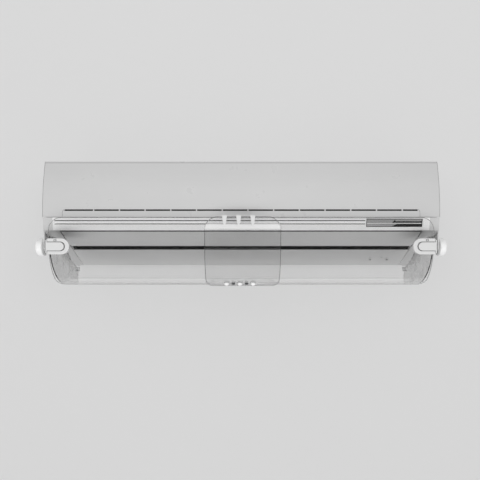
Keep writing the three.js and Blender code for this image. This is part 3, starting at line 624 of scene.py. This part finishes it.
def room(pale, reflected):
    """An even pale room whose reflections are dimmer, as in a studio with black flags by the camera."""
    world = bpy.data.worlds.new("room")
    world.use_nodes = True
    tree = world.node_tree
    background = tree.nodes["Background"]
    background.inputs["Color"].default_value = (1, 1, 1, 1)
    strength = tree.nodes.new("ShaderNodeMapRange")
    path = tree.nodes.new("ShaderNodeLightPath")
    tree.links.new(path.outputs["Is Glossy Ray"], strength.inputs["Value"])
    strength.inputs["To Min"].default_value = pale
    strength.inputs["To Max"].default_value = reflected
    tree.links.new(strength.outputs["Result"], background.inputs["Strength"])
    bpy.context.scene.world = world


room(0.62, 0.2)
bpy.context.scene.view_settings.view_transform = "Standard"
bpy.context.scene.cycles.transparent_max_bounces = 24


# ------------------------------------------------------------------ CAD nodes that keep their shape

CAD_NODES = frame["nodes"]
SLOT_OF = {row["node"]: row["material_slot"] for row in frame["record"]["subparts"]}
EDGE_MM = {
    "front_panel": 0.3,
    "front_casing": 0.6,
    "rear_chassis": 0.7,
    "horizontal_louver": 0.7,
    "wing": 0.7,
    "cheek": 0.7,
    "joiner_plate": 0.7,
    "receiver": 1.4,
    "hinge_tongue": 0.9,
    "side_bracket": 0.8,
    "comb_clip": 0.9,
    "rest_pad": 1.6,
    "display_window": 0.3,
    "mounting_plate": 0.35,
}
EDGE_OTHERS_MM = 0.4
PLAIN = ("coil_tube", "liquid_pipe", "suction_pipe", "filter")

OWN_LOOK = {
    "joiner_plate": "joiner_plastic",
    "cheek": "cheek_plastic",
    "front_casing": "fascia_white",
    "rear_chassis": "chassis_with_outlet",
    "drain_pan": "chassis_with_outlet",
}

for node, obj in CAD_NODES.items():
    stem = node.replace("_left", "").replace("_right", "")
    width = 0.0 if stem.startswith(PLAIN) else EDGE_MM.get(stem, EDGE_OTHERS_MM)
    smooth(obj, width, 3 if width >= 0.6 else 2)
    obj.data.materials.clear()
    obj.data.materials.append(MATERIAL[OWN_LOOK.get(stem, SLOT_OF[node])])


def body_of(node):
    return CAD_NODES[node].parent.name.removeprefix("body:")


# ------------------------------------------------------------------ deflector's polished edges


def blade_depth(height, outside):
    """Depth of the blade's face, that far outside its outer face, at a height."""
    drop = min(1.0, max(0.0, (BEND_CENTRE[1] - height) / (BEND_HEIGHT + outside)))
    return BEND_CENTRE[0] + (BEND_DEPTH + outside) * math.sqrt(1 - drop * drop)


def corner(x, height, radius, start, end, steps=14):
    """Points (x, height) round a corner between two angles."""
    turns = [(start + (end - start) * i / steps) * DEGREE for i in range(steps + 1)]
    return [(x + radius * math.cos(a), height + radius * math.sin(a)) for a in turns]


def down_blade(x, top, bottom, steps=22):
    return [(x, top + (bottom - top) * i / steps) for i in range(steps + 1)]


BEAD = 0.95
CHEEK_BEAD = 1.1


def rim(name, route, radius, node, material="rim_plastic"):
    bm = tube(route, [radius] * len(route), 10)
    piece(name, bm, body_of(node), MATERIAL[material])


def wing_rim(side):
    """The wing's top, side and bottom edge as one polished bead, tinted darker as painted shade for the edge
    line.
    """
    sign = SIGN[side]
    floor = BLADE_FLOOR + 1.5
    outline = [(1, -7.6)] + corner(467, -40, 32.4, 90, 0) + down_blade(499.4, -44, -168)
    outline += [p for p in corner(480, -171, 19.4, 0, -90) if p[1] > floor]
    route = [(sign * x, blade_depth(z, -1.5), z) for x, z in outline]
    last = route[-1]
    route += [(last[0] - sign * 0.8, last[1] - 12, floor), (last[0] - sign, 100, floor)]
    route += [(last[0] - sign * 1.4, 84, floor), (last[0] - sign * 4, 82.4, floor), (sign * 1, 82.4, floor)]
    rim(f"wing_rim_{side}", route, BEAD, f"wing_{side}")


def joiner_rim():
    """The joiner's whole outline as one bead, down to its floor on both sides, tinted darker as painted
    shade for the edge line.
    """
    floor = BLADE_FLOOR - 1.8
    half = [(4, -6)] + corner(69, -39.5, 33.5, 90, 0) + down_blade(102.5, -44, -170)
    half += [p for p in corner(81, -172, 21.5, 0, -90) if p[1] > floor]
    right = [(x, blade_depth(z, 1.8), z) for x, z in half]
    x, d, _ = right[-1]
    right += [(x - 0.5, d - 10, floor), (x - 1, 84, floor), (x - 4, 82.5, floor)]
    left = [(8 - x, d, z) for x, d, z in right]
    rim("joiner_rim", left[::-1] + right[1:], BEAD, "joiner_plate")


def cheek_rim(side):
    """The end plate's rear edge and the rounded start of its slanting edge, as a bright bead that is a
    painted highlight.
    """
    sign = SIGN[side]
    edge = ((82, -186.5), (82, -168), (82, -149), (88, -145), (94, -141))
    route = [(sign * (466.2 + 0.135 * d), d, z) for d, z in edge]
    rim(f"cheek_rim_{side}", route, CHEEK_BEAD, f"cheek_{side}", "rim_bright")


for side in SIGN:
    wing_rim(side)
    cheek_rim(side)
joiner_rim()


# ------------------------------------------------------------------ deflector's fittings


GRIPS = 24
GRIP_DEPTH = 0.018


def knob(side):
    """Domed thumb knob with shallow grip scallops round its rim."""
    sign = SIGN[side]
    place = placed(0, *PIVOT, (sign, 0, 0))
    profile = [(531, 5), (531, 20.5), (531.4, 22.4), (532.4, 23.8), (533.8, 24.4)]
    profile += [(538, 24.4), (542.5, 24.3), (545, 23.7), (547.4, 22.3), (549.6, 19.8), (551.4, 16.2)]
    profile += [(552.8, 12), (553.8, 7.6), (554.4, 3.4), (554.5, 0.6)]
    bm = turned(profile, place, 96)
    centre = Vector((0, -PIVOT[0], PIVOT[1])) * MM
    for vert in bm.verts:
        out = vert.co - centre
        if 533.5 < abs(out.x) / MM < 543 and math.hypot(out.y, out.z) > 23.5 * MM:
            turn = math.atan2(out.z, out.y)
            pinch = 1 - GRIP_DEPTH * max(0.0, math.cos(turn * GRIPS))
            vert.co.y = centre.y + out.y * pinch
            vert.co.z = centre.z + out.z * pinch
    node = f"knob_{side}"
    piece(f"thumb_{node}", bm, body_of(node), MATERIAL["knob_white"], [node])


def on_joiner(x):
    """Local frame on the joiner's face at the row of studs, with Z pointing outwards."""
    a = STUD_ANGLE * DEGREE
    return placed(x, *bend(STUD_ANGLE, JOINER_FACE), (0, math.cos(a), -math.sin(a)))


def stud(index, x):
    """Milky push rivet: a domed head with a centre dimple and a darker clear collar round it, painted shade
    for the ring's outline.
    """
    place = on_joiner(x)
    profile = [(0, 3), (0, 7.2)]
    profile += [(7.0 * math.sin(t * DEGREE), 7.2 * math.cos(t * DEGREE)) for t in range(10, 61, 7)]
    profile += [(6.1, 2.9), (5.6, 2.3), (5.4, 0.6)]
    bm = turned(profile, place, 40)
    node = f"stud_{index}"
    ring = [(0.1, 7.3), (0.3, 7.7), (0.7, 7.7), (0.9, 7.3)]
    collar = turned(ring, place, 40)
    piece(f"rivet_collar_{index}", collar, body_of(node), MATERIAL["rim_plastic"])
    piece(f"rivet_{index}", bm, body_of(node), MATERIAL["stud_clear"], [node])


def pan_screw(name, place, radius, rise, body, replaces=()):
    """Pan-head screw with a cross recess."""
    profile = [(0, radius * 0.6), (0, radius), (rise * 0.35, radius), (rise * 0.7, radius * 0.86)]
    profile += [(rise * 0.92, radius * 0.6), (rise, radius * 0.25), (rise, radius * 0.05)]
    head = turned(profile, place, 40)
    screw = piece(name, head, body, MATERIAL["screw_steel"], replaces)
    cutter = bpy.data.meshes.new("recess")
    bm = bmesh.new()
    for wide, tall in ((radius * 1.1, radius * 0.24), (radius * 0.24, radius * 1.1)):
        rings = []
        for length, shrink in ((rise * 0.35, 0.6), (rise * 1.3, 1.0)):
            ring = [(-wide, -tall), (wide, -tall), (wide, tall), (-wide, tall)]
            rings.append([place @ Vector((u * shrink / 2, v * shrink / 2, length)) * MM for u, v in ring])
        loft(rings, bm)
    bm.to_mesh(cutter)
    bm.free()
    tool = bpy.data.objects.new("recess", cutter)
    bpy.context.scene.collection.objects.link(tool)
    hollow = screw.modifiers.new("recess", "BOOLEAN")
    hollow.operation = "DIFFERENCE"
    hollow.solver = "EXACT"
    hollow.use_self = True
    hollow.object = tool
    shape = bpy.data.meshes.new_from_object(screw.evaluated_get(bpy.context.evaluated_depsgraph_get()))
    screw.modifiers.clear()
    screw.data = shape
    bpy.data.objects.remove(tool)
    for face in shape.polygons:
        face.use_smooth = False


def socket_shade(side):
    """Grey strip at the bottom of the groove between the tongue and its socket, painted shade that darkens
    the groove.
    """
    sign = SIGN[side]
    spots = []
    for radius, turns in ((13.4, range(90, 271, 10)), (9.6, range(270, 89, -10))):
        spots += [(464.8 + radius * math.cos(t * DEGREE), radius * math.sin(t * DEGREE)) for t in turns]
        if radius > 10:
            spots += [(499, -radius), (499, -9.6)]
    spots += [(499, 9.6), (499, 13.4)]
    rings = [[at(sign * x, d, SOCKET_HEIGHT + z) for x, z in spots] for d in (240.5, 242.6)]
    piece(f"socket_base_{side}", loft(rings), "deflector", MATERIAL["groove_grey"])


def ear_shade_strip(side):
    """Dark strip on the outer face of the hinge ear: painted shade for the dark line between the knob and
    the socket.
    """
    sign = SIGN[side]
    outline = [(248.8, -65.5), (248.8, -99.5), (243.5, -102), (243.5, -64)]
    bm = along_x(outline, sign * 503.7, sign * 505.1)
    piece(f"ear_gasket_{side}", bm, "deflector", MATERIAL["rubber_black"], bevel=0.3)


def latch_window(side):
    """Small framed window of the socket's catch."""
    sign = SIGN[side]
    bm = box(sorted((sign * 476, sign * 483)), (246.6, 247.25), (-68.9, -64.2))
    piece(f"latch_window_{side}", bm, "deflector", MATERIAL["groove_grey"], bevel=0.2)
    bm = box(sorted((sign * 477.2, sign * 481.8)), (246.7, 247.5), (-67.9, -65.2))
    piece(f"latch_tab_{side}", bm, "deflector", MATERIAL["fitting_white"], bevel=0.4)


for side in SIGN:
    knob(side)
    socket_shade(side)
    ear_shade_strip(side)
    latch_window(side)
for index, x in enumerate(STUDS_X, start=1):
    stud(index, x)
for index, x in enumerate(SCREWS_X, start=1):
    node = f"joiner_screw_{index}"
    pan_screw(f"cross_screw_{index}", on_joiner(x), 5.2, 4.4, body_of(node), [node])


# ------------------------------------------------------------------ cabinet's outer details


def display_reflections():
    """Painted reflection behind the smoked window: two grey bands that end on a slant stand for a reflected
    light's edge, and a light line is a painted highlight.
    """
    front = [(213.4, -10.4), (209.3, -30.8)]

    def band(name, low, high, x0, x1_low, x1_high, look):
        def spot(share):
            d = front[0][0] + (front[1][0] - front[0][0]) * share
            z = front[0][1] + (front[1][1] - front[0][1]) * share
            return d, z

        corners = [(x0, low), (x1_low, low), (x1_high, high), (x0, high)]
        rings = []
        for lift in (0.02, 0.12):
            rings.append([at(x, spot(s)[0] + lift, spot(s)[1]) for x, s in corners])
        piece(name, loft(rings), "cabinet", MATERIAL[look])

    band("display_band_upper", 0.48, 0.04, 333, 400, 408, "film_grey")
    band("display_band_end", 0.3, 0.04, 408, 478, 478, "film_grey")
    band("display_line", 0.62, 0.5, 333, 478, 478, "film_light")
    band("display_band_lower", 0.96, 0.64, 333, 398, 414, "film_grey")


def recessed_screw(index, x, along):
    """A screw in a shallow round recess of the underside."""
    depth, height = under(along, 0.15)
    down = (0, under(0, -1)[0] - under(0, 0)[0], under(0, -1)[1] - under(0, 0)[1])
    place = placed(x, depth, height, down)
    rim = [(-0.1, 3.4), (0.25, 6.0), (0.45, 5.6), (0.45, 4.6), (0.1, 4.2), (0.05, 3.4)]
    bm = turned(rim, place, 36)
    piece(f"screw_well_{index}", bm, "cabinet", MATERIAL["chassis_plastic"])
    pan_screw(f"casing_screw_{index}", placed(x, *under(along, 0.0), down), 3.2, 0.9, "cabinet")


def fascia_depth(height):
    """Depth of the fascia's face at a height."""
    (d0, z0), (d1, z1) = FASCIA_TOP, CREASE
    return d0 + (d1 - d0) * (z0 - height) / (z0 - z1)


def fascia_trim():
    """A bright raised moulding along the fascia, with a fine black strip of painted shade above and below
    it.
    """
    low, high = -22.5, -16.8
    outline = [(fascia_depth(low) - 0.2, low), (fascia_depth(low) + 0.35, low)]
    outline += [(fascia_depth(low) + 0.9, low + 1.4), (fascia_depth(high) + 0.9, high - 1.4)]
    outline += [(fascia_depth(high) + 0.35, high), (fascia_depth(high) - 0.2, high)]
    piece("fascia_trim", along_x(outline, *TRIM_ENDS), "cabinet", MATERIAL["trim_white"])
    # painted shade: black strips where shadow gaps would be
    for name, middle in (("trim_line_upper", -14.6), ("trim_line_lower", -23.3)):
        d = fascia_depth(middle)
        back, face = d - 0.3, d + 0.25
        outline = [(back, middle - 1), (face, middle - 1), (face, middle + 1), (back, middle + 1)]
        piece(name, along_x(outline, *TRIM_ENDS), "cabinet", MATERIAL["dark_recess"])


def slit_end(side):
    """Fine parting line from the end of the panel's slit down to its lower edge."""
    sign = SIGN[side]
    route = [(467.6, 14.6), (469.6, 13.8), (471.2, 12), (472.2, 9), (472.6, 5), (472.8, -4.4)]
    route = [(sign * x, PANEL_FRONT, z) for x, z in route]
    bm = tube(route, [0.32] * len(route), 8)
    piece(f"slit_line_{side}", bm, "front_panel", MATERIAL["groove_grey"])


def panel_edge(side):
    """Fine shadow line along the front corner of the panel's side."""
    sign = SIGN[side]
    obj = CAD_NODES["front_panel"]
    front = {}
    for vertex in obj.data.vertices:
        x, y, z = (v / MM for v in obj.matrix_world @ vertex.co)
        if sign * x > PANEL_SIDE - 0.5 and -y > 190:
            front[round(z)] = max(front.get(round(z), (0, 0)), (-y, z))
    profile = sorted(front.values(), key=lambda point: point[1])
    route = [(sign * (PANEL_SIDE - 0.1), d - 0.2, z) for d, z in profile]
    bm = tube(route, [0.5] * len(route), 8)
    piece(f"panel_edge_{side}", bm, "front_panel", MATERIAL["edge_grey"])


def slit_shade():
    """Black strip behind the panel's row of slots: painted shade that keeps the slots dark."""
    outline = [(209.6, 9.5), (210.9, 9.5), (210.9, 16.5), (209.6, 16.5)]
    bm = along_x(outline, -SLOTS_HALF, SLOTS_HALF)
    piece("slit_shade", bm, "front_panel", MATERIAL["dark_recess"])


def louver_shades():
    """Black strips along the louver's front edge and the front of its ends: painted shade for the dark gap
    round the louver.
    """
    front = [under(3.3, -0.2), under(5.4, -0.2), under(5.4, 2.9), under(4.1, 2.9)]
    # painted shade: black strip for the gap between the fascia and the louver
    bm = along_x(front, -LOUVER_HALF, LOUVER_HALF)
    piece("louver_seal_front", bm, "louver", MATERIAL["rubber_black"])
    end = [under(4.1, 0.5), under(34, -0.5), under(34, 2.6), under(4.1, 2.9)]
    for side, limits in (("left", (-481.9, -480.1)), ("right", (480.1, 481.9))):
        bm = along_x(end, *limits)
        piece(f"louver_seal_{side}", bm, "louver", MATERIAL["rubber_black"])


def gap_shades():
    """Black strips of painted shade over the ends of the outlet gap, beyond the chassis end plates."""
    outline = [under(91, 8), under(112, 8), under(117, 3.4), under(119, 3.4)]
    outline += [under(119, 4.8), under(113, 9.4), under(91, 9.4)]
    for side, limits in (("left", (-481.5, -475.6)), ("right", (430.6, 481.5))):
        bm = along_x(outline, *limits)
        piece(f"gap_baffle_{side}", bm, "cabinet", MATERIAL["dark_recess"])


display_reflections()
fascia_trim()
slit_shade()
for side in SIGN:
    panel_edge(side)
louver_shades()
gap_shades()
for side in SIGN:
    slit_end(side)
recessed_screw(1, 386, 178.7)
recessed_screw(2, 436, 178.7)


# ------------------------------------------------------------------ filters, fan, coil and pipes


THREAD_PITCH = 2.85
THREAD_HALF = 0.22


def filter_net(side):
    """Woven threads across the filter's openings."""
    sign = SIGN[side]
    bm = bmesh.new()
    low, high = -1.0, 141.5
    x0, x1 = 6.5, 501.5
    half = THREAD_HALF
    z = low
    while z <= high:
        box(sorted((sign * x0, sign * x1)), (164.2, 164.2 + 2 * half), (z - half, z + half), bm)
        z += THREAD_PITCH
    x = x0
    while x <= x1:
        middle = sign * x
        box((middle - half, middle + half), (164.66, 164.66 + 2 * half), (low, high), bm)
        x += THREAD_PITCH
    node = f"filter_{side}"
    obj = piece(f"net_{side}", bm, body_of(node), MATERIAL["filter_plastic"])
    obj.modifiers.clear()


FAN_CELLS = 8
FAN_BLADES = 34
# A blade's section as [radius, angle in degrees] about the fan's axis.
FAN_BLADE = ((31, 0), (34.5, 2.4), (38, 6), (43.2, 12.4), (43.4, 14), (38, 7.8), (34.5, 4.2), (31, 2))


def fan():
    """Cross-flow fan: cells of thin curved blades between discs."""
    bm = bmesh.new()
    left, right = FAN_ENDS
    for i in range(FAN_CELLS + 1):
        x = left + (right - left - 3) * i / FAN_CELLS
        place = placed(x, *FAN_AXIS, (1, 0, 0))
        turned([(0, 4), (0, 43.5), (0.4, 44), (2.6, 44), (3, 43.5), (3, 4)], place, 48, bm)
    for i in range(FAN_BLADES):
        turn = 360 * i / FAN_BLADES
        outline = []
        for radius, angle in FAN_BLADE:
            a = (turn + angle) * DEGREE
            outline.append((FAN_AXIS[0] + radius * math.cos(a), FAN_AXIS[1] + radius * math.sin(a)))
        along_x(outline, left + 1, right - 1, bm)
    for x0, x1 in ((right - 2, 448), (left - 16, left + 2)):
        profile = [(x0, 0.4), (x0, 3.6), (x0 + 0.4, 4), (x1 - 0.4, 4), (x1, 3.6), (x1, 0.4)]
        turned(profile, placed(0, *FAN_AXIS, (1, 0, 0)), 24, bm)
    piece("fan_rotor", bm, "fan", MATERIAL["vane_plastic"], ["cross_flow_fan"])


FIN_HALF = 11
GROOVE_HALF = 9.4
FIN_PITCH = 4.0


def fin_pack(name, a, b, node):
    """Thin fins with gaps between them, as one ribbed block."""
    length = math.dist(a, b)
    run = ((b[0] - a[0]) / length, (b[1] - a[1]) / length)
    side = (run[1], -run[0])

    def ring(x, half, end):
        spots = [(end, -half), (end, half), (length - end, half), (length - end, -half)]
        return [at(x, a[0] + t * run[0] + w * side[0], a[1] + t * run[1] + w * side[1]) for t, w in spots]

    rings = []
    x, stop = COIL_ENDS
    while x < stop:
        rings += [ring(x, FIN_HALF, 0), ring(x + 1.4, FIN_HALF, 0)]
        rings += [ring(x + 1.5, GROOVE_HALF, 1.6), ring(x + 3.9, GROOVE_HALF, 1.6)]
        x += FIN_PITCH
    rings += [ring(x, FIN_HALF, 0), ring(x + 0.4, FIN_HALF, 0)]
    obj = piece(name, loft(rings), "cabinet", MATERIAL["coil_fins"], [node])
    obj.modifiers.clear()
    for face in obj.data.polygons:
        face.use_smooth = False


HOSE_CUFF, HOSE_CREST, HOSE_VALLEY = 7.6, 7.95, 6.7


def drain_hose():
    """Corrugated hose with a plain cuff at each end."""
    corners = [(462, 146, -50), (462, 118, -66), (462, 24, -112), (-240, 24, -116)]
    route = rounded_route(corners, 16, 1.15)
    last = len(route) - 1
    radii = []
    for i in range(last + 1):
        cuff = i < 10 or i > last - 16
        ripple = HOSE_CREST if (i // 2) % 2 else HOSE_VALLEY
        radii.append(HOSE_CUFF if cuff else ripple)
    bm = tube(route, radii, 18)
    piece("corrugated_hose", bm, "cabinet", MATERIAL["hose_plastic"], ["drain_hose"])


for side in SIGN:
    filter_net(side)
fan()
fin_pack("fins_front", (150, -14), (128, 104), "evaporator_front")
fin_pack("fins_rear", (119, 122), (36, 70), "evaporator_rear")
drain_hose()
